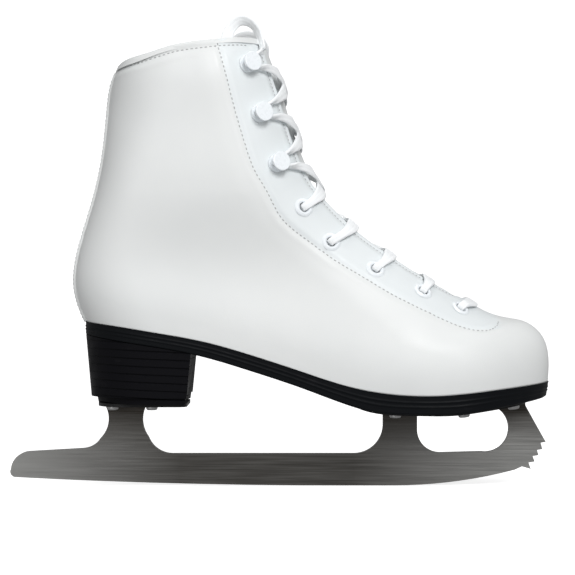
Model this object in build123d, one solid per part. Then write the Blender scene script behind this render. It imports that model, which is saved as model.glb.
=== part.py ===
"""A lace-up figure skate for the right foot, size 240: stiff leather boot, unit sole with a stacked
heel, and a steel runner with toe picks on two screwed plates.

Millimetres, +Z up, +X towards the toe, +Y towards the inner side of the foot.
The origin is on the ice, under the middle of the skate's overall length and width.
"""

import math
import os

import numpy as np
from build123d import *

# ---------------------------------------------------------------- driving dimensions
TILT = math.radians(18)  # the boot is lofted on planes that rise towards the toe by this much
LEATHER = 1.8  # thickness of the outer leather
STIFFENER = 1.2  # counter, toe box, eyestay and foam between leather and lining
LINING = 0.8
PAD = 4.5  # ankle padding inside the lining
TONGUE_DEPTH = 5.9  # from the boot's outer surface down to the face of the tongue
TONGUE_COVER, TONGUE_FOAM, TONGUE_LINING = 1.1, 2.7, 0.7
BINDING, BINDING_DROP = 0.45, 2.3  # collar edging: thickness, and how far down it folds
STRAP = 1.2  # backstrap leather, outside the boot
BOARD, FOOTBED = 2.4, 3.2  # insole board and the foam footbed on it
WELT = 0.5  # how far the outsole stands out past the leather
PLATE = 1.8  # steel of the heel plate and the sole plate
RUNNER = 3.9  # thickness of the runner
HEEL_BOTTOM = 49.5  # height of the underside of the heel block
LIFT = 3.5  # thickness of the heel's top piece
HEEL_BREAST = -46.0  # front of the heel block at its top
COLLAR_DROP = 0.6  # lining and foam end this far below the leather's top edge
EYELET_HOLE, EYELET_FLANGE, EYELET_WALL = 2.7, 5.2, 0.4  # radii of hole and flange, barrel wall
HOOK_BASE, HOOK_CAP, HOOK_RISE = 4.8, 5.2, 5.9  # radii of base and cap, height of the cap
LACE_WIDTH, LACE_THICK = 7.6, 1.0
CORD_R = 1.6  # the tucked lace ends are drawn as a round cord of the same section area


class Curve:
    """A natural cubic spline through (place, value) pairs, level beyond both ends."""

    def __init__(self, *pairs):
        self.x, self.y = (np.array(v, float) for v in zip(*sorted(pairs)))
        n, h = len(self.x), np.diff(self.x)
        rows, right = np.eye(n), np.zeros(n)
        for i in range(1, n - 1):
            rows[i, i - 1 : i + 2] = h[i - 1], 2 * (h[i - 1] + h[i]), h[i]
            right[i] = 6 * ((self.y[i + 1] - self.y[i]) / h[i] - (self.y[i] - self.y[i - 1]) / h[i - 1])
        self.bend = np.linalg.solve(rows, right)

    def __call__(self, at):
        at = min(max(at, self.x[0]), self.x[-1])
        i = min(max(int(np.searchsorted(self.x, at)) - 1, 0), len(self.x) - 2)
        h = self.x[i + 1] - self.x[i]
        a, b = (self.x[i + 1] - at) / h, (at - self.x[i]) / h
        curve = (a**3 - a) * self.bend[i] + (b**3 - b) * self.bend[i + 1]
        return float(a * self.y[i] + b * self.y[i + 1] + curve * h * h / 6)

    def slope(self, at):
        return self(at + 0.5) - self(at - 0.5)


# ---------------------------------------------------------------- the last: side lines and widths
# In the tilted frame: s runs forwards and up along the loft's planes, h is the height across them.
FRONT = Curve(
    (-20, 145), (-5, 151), (10, 157.6), (24, 162.2), (34, 162), (41, 158.5), (46, 153), (50, 145.5),
    (56, 137), (65, 128.8), (80, 116), (100, 101), (120, 87.2), (137, 77.8), (150, 72.3), (164, 70.2),
    (180, 69.4), (200, 69.8), (225, 69.6), (250, 67.5),
)
BACK = Curve(
    (-20, -68.8), (80, -68.8), (110, -72.3), (125, -74), (137, -73.5), (149, -69.5), (160, -62.8),
    (176, -51.7), (190, -42.3), (205, -34.7), (221, -27.8), (235, -20.4), (245, -12.2), (252, -5.8),
)
NOSE_LENGTH = Curve((-20, 56), (30, 56), (60, 50), (100, 46), (150, 44), (200, 42), (250, 40))
HEEL_LENGTH = Curve((-20, 36), (150, 36), (250, 40))
# Half widths at the sole, along X, on the outer (-Y) and the inner (+Y) side of the foot.
OUTER_SIDE = Curve(
    (-120, 30), (-85, 31.5), (-50, 30.5), (-15, 31), (20, 36.5), (55, 43), (80, 44.8), (105, 42.5),
    (130, 37), (150, 33),
)
INNER_SIDE = Curve(
    (-120, 30), (-85, 31.5), (-50, 29.5), (-15, 27), (20, 30.5), (55, 39.5), (80, 44), (97, 44.8),
    (125, 42), (150, 37),
)
BELLY = Curve((0, 0.985), (8, 1.01), (20, 1.0), (35, 0.93), (55, 0.84), (80, 0.76))
SHAFT = Curve((100, 33), (130, 33.5), (165, 36), (200, 36.6), (250, 39))
# The seat that the upper stands on, the underside of the outsole, and the collar, along X.
SOLE_TOP = Curve(
    (-112, 90.6), (-87, 87.7), (-61, 83.6), (-41, 79.8), (-15, 72.5), (12, 63.9), (38, 56), (62, 52.3),
    (84, 51.9), (104, 53.5), (130, 55.9), (150, 57.6),
)
SOLE_BOTTOM = Curve(
    (-112, 84), (-85, 79.5), (-60, 75.6), (-43, 72.1), (-15, 63.9), (12, 55.1), (38, 45.9), (50, 42.9),
    (60, 42), (75, 41.8), (92, 41.9), (110, 44), (130, 46.9), (150, 49.8),
)
COLLAR = Curve(
    (-100, 227.4), (-90, 227.6), (-84, 228.2), (-77, 229.6), (-64, 233.8), (-52, 237.1), (-39, 239.2),
    (-27, 240.5), (-10, 241.2), (10, 241.4),
)
THROAT = Curve((-40, 19.5), (-12, 19), (5, 18), (18, 17), (45, 15.8), (70, 14.6), (90, 12.4))
THROAT_END, THROAT_END_R = 101.0, 10.5
TONGUE_HALF = Curve((-45, 22), (-14, 22), (10, 24), (60, 24), (90, 20), (112, 15))

# (h, distance from the centre plane) of each eyelet, toe end first, and of each hook, lowest first.
EYELETS = [(63, 21.5), (78, 25), (97, 27), (118, 27.2), (140, 27.6)]
HOOKS = [(166.5, 29.6), (194.5, 30.2), (221.5, 30)]


def world(s, y, h):
    c, t = math.cos(TILT), math.sin(TILT)
    return (c * s - t * h, y, t * s + c * h)


def tilted(x, z):
    c, t = math.cos(TILT), math.sin(TILT)
    return c * x + t * z, c * z - t * x


def round_off(distance, length):
    """1 away from an end of the outline, and a quarter ellipse down to 0 at it."""
    share = min(max(distance / length, 0.0), 1.0)
    return math.sqrt(max(0.0, 1 - (1 - share) ** 2))


def half_width(s, h, side, inset=0.0):
    """Half width of the boot at a point of the centre plane, inset inwards from its outer surface."""
    x, _, z = world(s, 0, h)
    foot = (INNER_SIDE if side > 0 else OUTER_SIDE)(x) * BELLY(z - SOLE_TOP(x))
    rise = min(max((z - 100) / 60, 0.0), 1.0)
    shaft = rise * rise * (3 - 2 * rise)
    wide = foot * (1 - shaft) + SHAFT(z) * shaft - inset
    nose, heel = ends(h, inset)
    return wide * round_off(nose - s, NOSE_LENGTH(h)) * round_off(s - heel, HEEL_LENGTH(h))


def ends(h, inset):
    """Front and back of the outline at a height."""
    front = FRONT(h) - inset * math.hypot(1, FRONT.slope(h))
    back = BACK(h) + inset * math.hypot(1, BACK.slope(h))
    return front, back


LOFT_HEIGHTS = (
    -20, -5, 8, 18, 27, 34, 40, 45, 49.5, 54, 60, 68, 78, 90, 104, 120, 138, 158, 180, 204, 228, 252,
)


def boot_body(inset):
    """The boot's closed form, lofted through outlines on the tilted planes."""
    wires = []
    for h in LOFT_HEIGHTS:
        nose, heel = ends(h, inset)
        points = []
        for k in range(36):
            turn = math.tau * k / 36
            s = (nose + heel) / 2 + (nose - heel) / 2 * math.cos(turn)
            side = 1 if math.sin(turn) >= 0 else -1
            points.append(world(s, side * half_width(s, h, side, inset), h))
        outline = Edge.make_spline([Vector(*p) for p in points], periodic=True, parameters=range(37))
        wires.append(Wire([outline]))
    return Solid.make_loft(wires, ruled=False)


def front_point(h, y, lift=0.0):
    """A point on the front of the boot at a height and a signed distance from the centre plane,
    lifted off the outer surface, with the outward normal there."""
    def on_surface(h, y):
        nose, near, far = FRONT(h), 0.0, NOSE_LENGTH(h)
        for _ in range(40):
            middle = (near + far) / 2
            if half_width(nose - middle, h, y) < abs(y):
                near = middle
            else:
                far = middle
        return Vector(*world(nose - near, y, h))

    point = on_surface(h, y)
    along = on_surface(h + 0.5, y) - on_surface(h - 0.5, y)
    across = on_surface(h, y + 0.5) - on_surface(h, y - 0.5)
    normal = across.cross(along).normalized()
    if normal.X < 0:
        normal = -normal
    return point + normal * lift, normal


# ---------------------------------------------------------------- regions to trim with
REACH = 90


def line_points(curve, start, stop, raised=0.0, step=7.0):
    count = max(4, round(abs(stop - start) / step))
    return [(x, curve(x) + raised) for x in np.linspace(start, stop, count)]


def side_prism(*chains):
    """The space beside a closed line drawn on the centre plane: each chain of (x, z) points is a
    smooth curve, and straight edges join one chain to the next."""
    edges, ends_of = [], []
    for chain in chains:
        if len(chain) > 2:
            edges.append(Spline(*chain))
        elif len(chain) == 2:
            edges.append(Line(*chain))
        ends_of.append((chain[0], chain[-1]))
    for (_, last), (first, _) in zip(ends_of, ends_of[1:] + ends_of[:1]):
        if math.dist(last, first) > 1e-6:
            edges.append(Line(last, first))
    return extrude(Plane.XZ * make_face(edges), REACH, both=True)


def between(lower, low_raise, upper, high_raise, start=-130, stop=170):
    """The space between two side lines."""
    top = line_points(upper, stop, start, high_raise)
    return side_prism(line_points(lower, start, stop, low_raise), top)


def plan_prism(points, low=0, high=300):
    """The space inside a smooth closed line seen from above."""
    face = make_face([Spline(*points, periodic=True)])
    return extrude(Plane.XY.offset(low) * face, high - low)


def throat_prism():
    """The slit between the facings, seen from above, with a round end at the toe."""
    xs = np.linspace(-45, 90, 16)
    side = [(x, THROAT(x)) for x in xs]
    tip = (THROAT_END, 0)
    edges = [
        Spline(*side),
        ThreePointArc(side[-1], (THROAT_END - 3.2, THROAT_END_R * 0.62), tip),
        ThreePointArc(tip, (THROAT_END - 3.2, -THROAT_END_R * 0.62), (side[-1][0], -side[-1][1])),
        Spline(*[(x, -y) for x, y in reversed(side)]),
        Line((side[0][0], -side[0][1]), side[0]),
    ]
    return extrude(make_face(edges), 320)


def layer(outer, inner, window):
    """The skin of the boot between two depths, inside a window."""
    return (bodies(outer) & window) - bodies(inner)


BODIES = {}


def bodies(inset):
    if inset not in BODIES:
        BODIES[inset] = boot_body(inset)
    return BODIES[inset]


def sole_outline(grow, count=44):
    """The edge of the sole seen from above, grown outwards."""
    def reach(x):
        s, h = tilted(x, SOLE_TOP(x))
        nose, heel = ends(h, -grow)
        return nose - s, s - heel

    def edge(inside, outside, which):
        for _ in range(40):
            middle = (inside + outside) / 2
            if reach(middle)[which] > 0:
                inside = middle
            else:
                outside = middle
        return inside

    front, back = edge(120, 165, 0), edge(-80, -125, 1)
    points = []
    for k in range(count):
        turn = math.tau * (k + 0.5) / count
        x = (front + back) / 2 + (front - back) / 2 * math.cos(turn)
        side = 1 if math.sin(turn) >= 0 else -1
        s, h = tilted(x, SOLE_TOP(x))
        points.append((x, side * half_width(s, h, side, -grow)))
    return points


# ---------------------------------------------------------------- the boot's layers
DEPTH_1 = LEATHER
DEPTH_2 = LEATHER + STIFFENER
DEPTH_3 = DEPTH_2 + LINING
DEPTH_4 = DEPTH_3 + PAD


def plug(h, y, radius, low, high):
    """A cylinder along the surface's normal at a place on the facing."""
    point, normal = front_point(h, y)
    place = Plane(origin=point + normal * low, z_dir=normal)
    return place * Cylinder(radius, high - low, align=(Align.CENTER, Align.CENTER, Align.MIN))


def facing_places(rows):
    return [(h, side * y) for h, y in rows for side in (-1, 1)]


def fixing_holes():
    holes = [plug(h, y, EYELET_HOLE + EYELET_WALL, -7, 4) for h, y in facing_places(EYELETS)]
    holes += [plug(h, y, 1.6, -7, 4) for h, y in facing_places(HOOKS)]
    return holes


def cut(shape, tools):
    for tool in tools:
        shape = shape - tool
    return shape


def upper(throat, holes):
    window = between(SOLE_TOP, 0, COLLAR, 0)
    return cut(layer(0, DEPTH_1, window), [throat, *holes])


def stiffener_windows():
    """Counter, toe box and eyestay, as side regions of the layer under the leather."""
    counter = side_prism([(-130, 40), (8, 40)], [(8, 66), (-10, 98), (-40, 122), (-75, 139), (-130, 144)])
    toe_box = side_prism([(108, 40), (170, 40)], [(170, 120), (118, 120)])
    eyestay = side_prism(
        [(-34, 260), (-33, 234), (-28.5, 218), (-19.5, 187), (-8, 162), (15, 134.5), (46, 114.3),
         (77, 97.2), (95, 88.6), (112, 86.2)],
        [(112, 86.2), (117.5, 100)],
        [(117.5, 100), (117.5, 260)],
    )
    return counter, toe_box, eyestay


def stiffeners(throat, holes):
    counter, toe_box, eyestay = stiffener_windows()
    whole = between(SOLE_TOP, BOARD, COLLAR, -COLLAR_DROP)
    skin = layer(DEPTH_1, DEPTH_2, whole)
    eyestay_only = eyestay - toe_box
    rest = cut(skin, [counter, toe_box, eyestay, throat])
    return {
        "heel_counter": skin & counter,
        "toe_box": skin & toe_box,
        "eyestay": cut(skin & eyestay_only, [throat, *holes]),
        "interlining_foam": rest,
    }


def lining(throat, holes):
    window = between(SOLE_TOP, BOARD, COLLAR, -COLLAR_DROP)
    return cut(layer(DEPTH_2, DEPTH_3, window), [throat, *holes])


def ankle_padding():
    window = side_prism(
        [(-120, 118), (-80, 116), (-62, 122), (-50, 138), (-38, 165), (-36, 200), (-40, 234)],
        line_points(COLLAR, -42, -120, -3.0),
    )
    return layer(DEPTH_3, DEPTH_4, window)


def footbed_and_board():
    board = bodies(DEPTH_1) & between(SOLE_TOP, 0, SOLE_TOP, BOARD)
    bed = bodies(DEPTH_3 + 0.3) & between(SOLE_TOP, BOARD, SOLE_TOP, BOARD + FOOTBED)
    return board, bed


def tongue():
    """Cover, foam and lining of the tongue, which lies under the facings."""
    xs = np.linspace(-44, 108, 14)
    side = [(x, TONGUE_HALF(x)) for x in xs]
    edges = [
        Spline(*side),
        ThreePointArc(side[-1], (114, 0), (side[-1][0], -side[-1][1])),
        Spline(*[(x, -y) for x, y in reversed(side)]),
        Line((side[0][0], -side[0][1]), side[0]),
    ]
    plan = extrude(make_face(edges), 320)
    window = side_prism(
        [(160, 70), (60, 88), (20, 104), (-14, 132), (-44, 170), (-50, 245.5)],
        [(-50, 245.5), (-16, 244.5), (160, 244.5)],
    )
    window = window & plan
    depths = [TONGUE_DEPTH]
    for thick in (TONGUE_COVER, TONGUE_FOAM, TONGUE_LINING):
        depths.append(depths[-1] + thick)
    names = ("tongue_cover", "tongue_foam", "tongue_lining")
    return {n: layer(a, b, window) for n, a, b in zip(names, depths, depths[1:])}


def backstrap():
    strip = Box(60, 13, 200, align=(Align.MAX, Align.CENTER, Align.MIN)).moved(Location((-80, 0, 80)))
    window = between(SOLE_TOP, 0, COLLAR, -BINDING_DROP - 0.2) & strip
    return (bodies(-STRAP) & window) - bodies(0)


def collar_binding(throat):
    """A thin edging folded over the top of the leather."""
    strip = bodies(-BINDING) & between(COLLAR, -BINDING_DROP, COLLAR, BINDING)
    leather = bodies(0) & between(SOLE_TOP, 0, COLLAR, 0)
    return cut(strip, [bodies(DEPTH_3), leather, throat])


# ---------------------------------------------------------------- sole, heel and plates
SOLE_SCREWS = [(x, side * y) for x, y in ((62, 17), (98.5, 19), (126, 13)) for side in (-1, 1)]
HEEL_SCREWS = [(x, side * 14) for x in (-90.5, -69.5) for side in (-1, 1)]
SCREW_HEAD_R, SCREW_HEAD, SCREW_R, SCREW_LENGTH = 3.1, 1.9, 1.7, 7.5
HEEL_PLATE_TOP = HEEL_BOTTOM - LIFT
SHANK_MIDDLE, SHANK_LENGTH, SHANK_WIDTH, SHANK_THICK = -14, 96, 13, 1.4


def under_outsole(x, drop=0.0):
    """A point under the outsole, dropped along the normal, and the slope of the sole there."""
    lean = math.atan(SOLE_BOTTOM.slope(x))
    return Vector(x + drop * math.sin(lean), 0, SOLE_BOTTOM(x) - drop * math.cos(lean)), math.degrees(lean)


def screw(place):
    """A pan-head screw whose head hangs under a plate, with a blind cross in the head."""
    head = Cylinder(SCREW_HEAD_R, SCREW_HEAD, align=(Align.CENTER, Align.CENTER, Align.MAX))
    head = fillet(head.faces().sort_by(Axis.Z)[0].edges(), 1.1)
    slot = Box(3.4, 0.8, 1.6) + Box(0.8, 3.4, 1.6)
    body = Cylinder(SCREW_R, SCREW_LENGTH, align=(Align.CENTER, Align.CENTER, Align.MIN))
    return place * (head - slot.moved(Location((0, 0, -SCREW_HEAD))) + body)


def sole_screw_places():
    places = []
    for x, y in SOLE_SCREWS:
        point, lean = under_outsole(x, PLATE)
        places.append(Location((point.X, y, point.Z), (0, -lean, 0)))
    return places


def heel_screw_places():
    return [Location((x, y, HEEL_PLATE_TOP - PLATE)) for x, y in HEEL_SCREWS]


def shank():
    strip = between(SOLE_TOP, -SHANK_THICK, SOLE_TOP, 0)
    return strip & Box(SHANK_LENGTH, SHANK_WIDTH, 400).moved(Location((SHANK_MIDDLE, 0, 0)))


def outsole(hidden):
    block = plan_prism(sole_outline(WELT)) & between(SOLE_BOTTOM, 0, SOLE_TOP, 0)
    return cut(block, hidden)


def heel_ring(shrink_back, shrink_breast, narrower, z):
    """The heel's D-shaped outline: round at the back, slightly hollow at the breast."""
    outline = sole_outline(WELT - narrower)
    back = [(x, y) for x, y in outline if x < HEEL_BREAST - 4 - shrink_breast]
    front_x = HEEL_BREAST - shrink_breast
    s, h = tilted(front_x, SOLE_TOP(front_x))
    inner, outer = (half_width(s, h, side, narrower - WELT) for side in (1, -1))
    back = [(x + shrink_back * (front_x - x) / 65, y) for x, y in back]
    points = [(front_x, inner), *back, (front_x, -outer)]
    edges = [Spline(*points), ThreePointArc(points[-1], (front_x - 1.6, 0), points[0])]
    return Wire([e.moved(Location((0, 0, z))) for e in edges])


def heel_block(hidden):
    top, bottom = heel_ring(-0.6, 0, 0.2, 90), heel_ring(0.6, 3.9, 2.4, HEEL_BOTTOM)
    block = Solid.make_loft([bottom, top], ruled=True)
    below = side_prism([(-130, 20), (-30, 20)], line_points(SOLE_BOTTOM, -30, -130, 3))
    return cut(block & below, [between(SOLE_BOTTOM, 0, SOLE_TOP, 0), *hidden])


def heel_lift(hidden):
    ring, low = heel_ring(2.6, 5.0, 4.4, HEEL_BOTTOM - LIFT), heel_ring(2.2, 4.6, 4.0, HEEL_BOTTOM)
    return cut(Solid.make_loft([ring, low], ruled=True), hidden)


def heel_plate(hidden):
    """A flat steel plate with a round back and rounded front corners."""
    body = Rectangle(49, 40).moved(Location((-75, 0, 0)))
    body = fillet(body.vertices().group_by(Axis.X)[0], 17)
    body = fillet(body.vertices().group_by(Axis.X)[-1], 5)
    return cut(extrude(body.moved(Location((0, 0, HEEL_PLATE_TOP - PLATE))), PLATE), hidden)


def sole_plate(hidden):
    """A steel plate that follows the ball and the toe spring of the sole."""
    half = [(41.5, 0), (43.5, 14), (54, 22), (72, 26.5), (92, 27), (112, 23.5), (128, 16.5), (134.5, 0)]
    points = half + [(x, -y) for x, y in reversed(half[1:-1])]
    return cut(plan_prism(points) & between(SOLE_BOTTOM, -PLATE, SOLE_BOTTOM, 0), hidden)


# ---------------------------------------------------------------- runner
RUNNER_TOP = 17.5
TAIL = -148.0
ROCKER_START, ROCKER_R = 62.0, 262.0
TAIL_R = 3600.0
PICK_TIPS = [(137.4, 9.0), (139.5, 13.1), (141.6, 16.6), (143.7, 19.9), (145.6, 23.9)]
PICK_ROOTS = [(136.1, 12.5), (138.4, 16.0), (140.8, 19.4), (142.8, 23.4)]


def runner_outline():
    """The runner seen from the side, from the tail round the rocker to the picks and back."""
    lowest = 32.0
    tail_low = ((TAIL + 3 - lowest) ** 2) / (2 * TAIL_R)
    rocker_end = 128.5
    rise = ROCKER_R - math.sqrt(ROCKER_R**2 - (rocker_end - ROCKER_START) ** 2)
    picks = [PICK_TIPS[0]]
    for root, tip in zip(PICK_ROOTS, PICK_TIPS[1:]):
        picks += [root, tip]
    bottom = [
        ThreePointArc((TAIL + 2.2, tail_low + 0.2), (-60, (60 + lowest) ** 2 / (2 * TAIL_R)), (lowest, 0)),
        Line((lowest, 0), (ROCKER_START, 0)),
        ThreePointArc(
            (ROCKER_START, 0),
            (95, ROCKER_R - math.sqrt(ROCKER_R**2 - (95 - ROCKER_START) ** 2)),
            (rocker_end, rise),
        ),
        Line((rocker_end, rise), (132.5, 10.4)),
        Line((132.5, 10.4), PICK_TIPS[0]),
        Polyline(*picks),
        ThreePointArc(PICK_TIPS[-1], (140.2, 33.5), (134.4, 44.0)),
        Polyline((134.4, 44.0), (134.4, 60), (-96.5, 60), (-96.5, 44.5)),
    ]
    tail = [
        ThreePointArc((-96.5, 44.5), (-94.3, 35.5), (-98.6, 26.2)),
        ThreePointArc((-98.6, 26.2), (-102.6, 22.2), (-108.2, 20.3)),
        Line((-108.2, 20.3), (-138.0, 18.6)),
        ThreePointArc((-138.0, 18.6), (-144.9, 15.6), (TAIL, 9.0)),
        ThreePointArc((TAIL, 9.0), (TAIL + 0.1, 6.0), (TAIL + 2.2, tail_low + 0.2)),
    ]
    return make_face(bottom + tail)


def windows():
    """The two openings between the stanchions, as outlines that run up past the plates."""
    rear = [
        Line((-73.4, 60), (-73.4, 44.5)),
        ThreePointArc((-73.4, 44.5), (-75.6, 35.0), (-72.4, 26.5)),
        ThreePointArc((-72.4, 26.5), (-67.6, 20.2), (-59.4, RUNNER_TOP)),
        Line((-59.4, RUNNER_TOP), (41.0, RUNNER_TOP)),
        ThreePointArc((41.0, RUNNER_TOP), (52.0, 22.6), (56.2, 32.5)),
        Line((56.2, 32.5), (56.2, 60)),
        Line((56.2, 60), (-73.4, 60)),
    ]
    front = [
        Line((75.0, 60), (75.0, 31.5)),
        ThreePointArc((75.0, 31.5), (78.4, 22.1), (87.0, 18.0)),
        Line((87.0, 18.0), (110.5, 18.6)),
        ThreePointArc((110.5, 18.6), (125.3, 31.0), (119.5, 42.0)),
        Line((119.5, 42.0), (112.0, 60)),
        Line((112.0, 60), (75.0, 60)),
    ]
    return [make_face(rear), make_face(front)]


def runner():
    """The runner, with stanchions cut to sit against the undersides of both plates."""
    half = RUNNER / 2
    plate = extrude(Plane.XZ * runner_outline(), half, both=True)
    for opening in windows():
        plate = plate - extrude(Plane.XZ * opening, RUNNER, both=True)
    above = between(SOLE_BOTTOM, -PLATE, SOLE_BOTTOM, 40)
    under_plate = HEEL_PLATE_TOP - PLATE
    above_heel = side_prism([(-130, under_plate), (0, under_plate)], [(0, 90), (-130, 90)])
    return plate - above - above_heel


# ---------------------------------------------------------------- eyelets and hooks
def eyelet():
    """A rolled eyelet about +Z, with the leather's outer face at z = 0."""
    depth, lip = DEPTH_3, 1.0
    r, w, f = EYELET_HOLE, EYELET_WALL, EYELET_FLANGE
    profile = [
        (r, lip * 0.35), (r + 0.5, lip * 0.8), (r + 1.2, lip), (f - 0.5, lip * 0.55), (f, 0.05),
        (r + w, 0.05), (r + w, -depth - 0.02), (f - 1.0, -depth - 0.02), (f - 1.0, -depth - 0.38),
        (r, -depth - 0.38),
    ]
    face = make_face([Polyline(*profile, close=True)])
    return revolve(Plane.XZ * face, Axis.Z)


def hook():
    """A sheet-steel lace hook about +Z: riveted base, neck on the throat side (+X), round cap."""
    sheet, neck_at = 0.9, 3.4
    base = Cylinder(HOOK_BASE, sheet, align=(Align.CENTER, Align.CENTER, Align.MIN))
    base = base.moved(Location((0, 0, 0.05)))
    cap = Cylinder(HOOK_CAP, sheet, align=(Align.CENTER, Align.CENTER, Align.MIN))
    cap = cap.moved(Location((0, 0, HOOK_RISE)))
    cap = fillet(cap.faces().sort_by(Axis.Z)[-1].edges(), 0.5)
    neck = Box(sheet, 4.4, HOOK_RISE + sheet * 0.4, align=(Align.MIN, Align.CENTER, Align.MIN))
    neck = neck.moved(Location((neck_at, 0, 0.3)))
    rivet = Cylinder(1.6, DEPTH_3 + 0.3, align=(Align.CENTER, Align.CENTER, Align.MAX))
    rivet = rivet.moved(Location((0, 0, 0.1)))
    clench = Cylinder(3.2, 0.4, align=(Align.CENTER, Align.CENTER, Align.MAX))
    return base + cap + neck + rivet + clench.moved(Location((0, 0, -DEPTH_3 - 0.02)))


def placed(make, rows, side):
    """One of these at each place, its +X turned towards the throat."""
    found = []
    for h, y in rows:
        point, normal = front_point(h, side * y)
        inwards = front_point(h, side * (y - 2))[0] - point
        found.append(Plane(origin=point, x_dir=inwards, z_dir=normal) * make())
    return found


# ---------------------------------------------------------------- lace
def ribbon(stations):
    """A flat lace through stations of (point, direction across it, width, thickness), made of flat
    triangles so that its twists are exact."""
    rings = []
    for i, (point, across, width, thick) in enumerate(stations):
        before, after = stations[max(i - 1, 0)][0], stations[min(i + 1, len(stations) - 1)][0]
        along = (after - before).normalized()
        wide = (across - along * across.dot(along)).normalized()
        a, b = wide * (width / 2), along.cross(wide) * (thick / 2)
        rings.append([point + a + b, point - a + b, point - a - b, point + a - b])
    polygons = [rings[0], rings[-1]]
    for one, two in zip(rings, rings[1:]):
        for k in range(4):
            m = (k + 1) % 4
            polygons += [[one[k], one[m], two[m]], [one[k], two[m], two[k]]]
    return Solid(Shell([Face(Wire.make_polygon(corners)) for corners in polygons]))


INSIDE_LIFT = -DEPTH_3 - 0.38 - 0.75  # lace between the lining and the tongue
GAP_LIFT = -4.55  # lace lying on the tongue between the facings
OVER = 1.2  # how much higher one half crosses over the other
BUNCHED = (4.0, 1.6)  # width and thickness through an eyelet


def up_at(h, y):
    return (front_point(h + 1, y)[0] - front_point(h - 1, y)[0]).normalized()


def station(h, y, lift, size=(LACE_WIDTH, LACE_THICK), on_edge=0.0):
    """A lace station over the front of the boot, lying flat (0) or standing on edge (1)."""
    point, normal = front_point(h, y, lift)
    across = up_at(h, y) * (1 - on_edge) + normal * on_edge
    return point, across, *size


def under_facing(start, stop, side, over):
    """From inside the eyelet at start, under its facing and the tongue gap, up to the other side."""
    (h0, y0), (h1, y1) = start, stop
    plan = [
        (0.06, INSIDE_LIFT, (4.6, 1.3)), (0.16, INSIDE_LIFT, (6.6, 1.0)), (0.3, INSIDE_LIFT + 0.1, None),
        (0.5, GAP_LIFT + over, None), (0.7, INSIDE_LIFT + 0.1, None), (0.84, INSIDE_LIFT, (6.6, 1.0)),
        (0.94, INSIDE_LIFT, (4.6, 1.3)),
    ]
    return path_of(plan, h0, side * y0, h1, -side * y1)


def path_of(plan, h0, y0, h1, y1):
    """Stations along a straight way over the front: each has its share of the way, lift and size."""
    found = []
    for share, lift, size in plan:
        h, y = h0 + (h1 - h0) * share, y0 + (y1 - y0) * share
        found.append(station(h, y, lift, size or (LACE_WIDTH, LACE_THICK)))
    return found


def through_eyelet(h, y, outwards):
    """Along the hole's own axis, out of the boot or into it."""
    lifts = (INSIDE_LIFT + 0.9, -1.6, 0.9)
    lifts = lifts if outwards else lifts[::-1]
    return [station(h, y, lift, BUNCHED) for lift in lifts]


def over_facing(start, stop, side, over):
    """Out of the eyelet at start, over the facing's edge and the tongue, under the far facing."""
    (h0, y0), (h1, y1) = start, stop
    plan = [
        (0.06, 2.1, (4.4, 1.5)), (0.13, 2.0, (6.2, 1.1)), (0.2, 0.95, None), (0.27, 0.3, None),
        (0.36, -2.0, None), (0.5, GAP_LIFT + over, None), (0.62, INSIDE_LIFT + 0.1, None),
        (0.74, INSIDE_LIFT, None), (0.84, INSIDE_LIFT, (6.6, 1.0)), (0.94, INSIDE_LIFT, (4.6, 1.3)),
    ]
    return path_of(plan, h0, side * y0, h1, -side * y1)


def round_hook(hook_at, side):
    """Up to a hook, round behind its neck on edge, and away again towards the throat."""
    h, y = hook_at
    tall, low = (3.9, 1.5), 3.35
    around = [
        (-4.6, -6.4, 0.35), (-3.7, -3.6, 0.8), (-2.6, -0.8, 1), (-0.9, 0.9, 1),
        (0.9, 0.9, 1), (2.6, -0.8, 1), (3.7, -3.6, 0.8), (4.6, -6.4, 0.35),
    ]
    return [station(h + dh, side * (y + dy), low, tall, edge) for dh, dy, edge in around]


def lace_half(side, over):
    """Half of the lace, from the bar at the toe through the eyelets and round the hooks."""
    h, y = EYELETS[0]
    bar = [(0.0, 1.0, None), (0.45, 0.9, None), (0.7, 1.7, (6.2, 1.2)), (0.9, 2.1, (4.4, 1.5))]
    found = path_of(bar, h, 0, h, side * y)
    found += through_eyelet(h, side * y, outwards=False)
    found += under_facing(EYELETS[0], EYELETS[1], side, over)
    side = -side
    found += through_eyelet(EYELETS[1][0], side * EYELETS[1][1], outwards=True)
    for start, stop in zip(EYELETS[1:], EYELETS[2:]):
        over = OVER if over == 0 else 0
        found += over_facing(start, stop, side, over)
        side = -side
        found += through_eyelet(stop[0], side * stop[1], outwards=True)
    start = EYELETS[-1]
    for hook_at in HOOKS:
        over = OVER if over == 0 else 0
        found += towards_hook(start, hook_at, side, over)
        side = -side
        found += round_hook(hook_at, side)
        start = (hook_at[0] + 4.6, hook_at[1] - 6.4)
    return found


def towards_hook(start, hook_at, side, over):
    """Over the facings and the gap between them, from an eyelet or a hook to the opposite hook."""
    (h0, y0), (h1, y1) = start, (hook_at[0] - 4.6, hook_at[1] - 6.4)
    if start in EYELETS:
        plan = [(0.06, 2.1, (4.4, 1.5)), (0.13, 2.0, (6.2, 1.1))]
    else:
        plan = [(0.08, 2.4, (5.0, 1.3))]
    plan += [
        (0.22, 1.2, None), (0.34, 0.0, None), (0.5, -1.3 + over, None), (0.66, 0.0, None),
        (0.8, 1.4, None), (0.92, 2.4, (5.0, 1.3)),
    ]
    return path_of(plan, h0, side * y0, h1, -side * y1)


def lace():
    one, other = lace_half(-1, 0), lace_half(1, OVER)
    return ribbon(list(reversed(one)) + other[1:])


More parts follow.
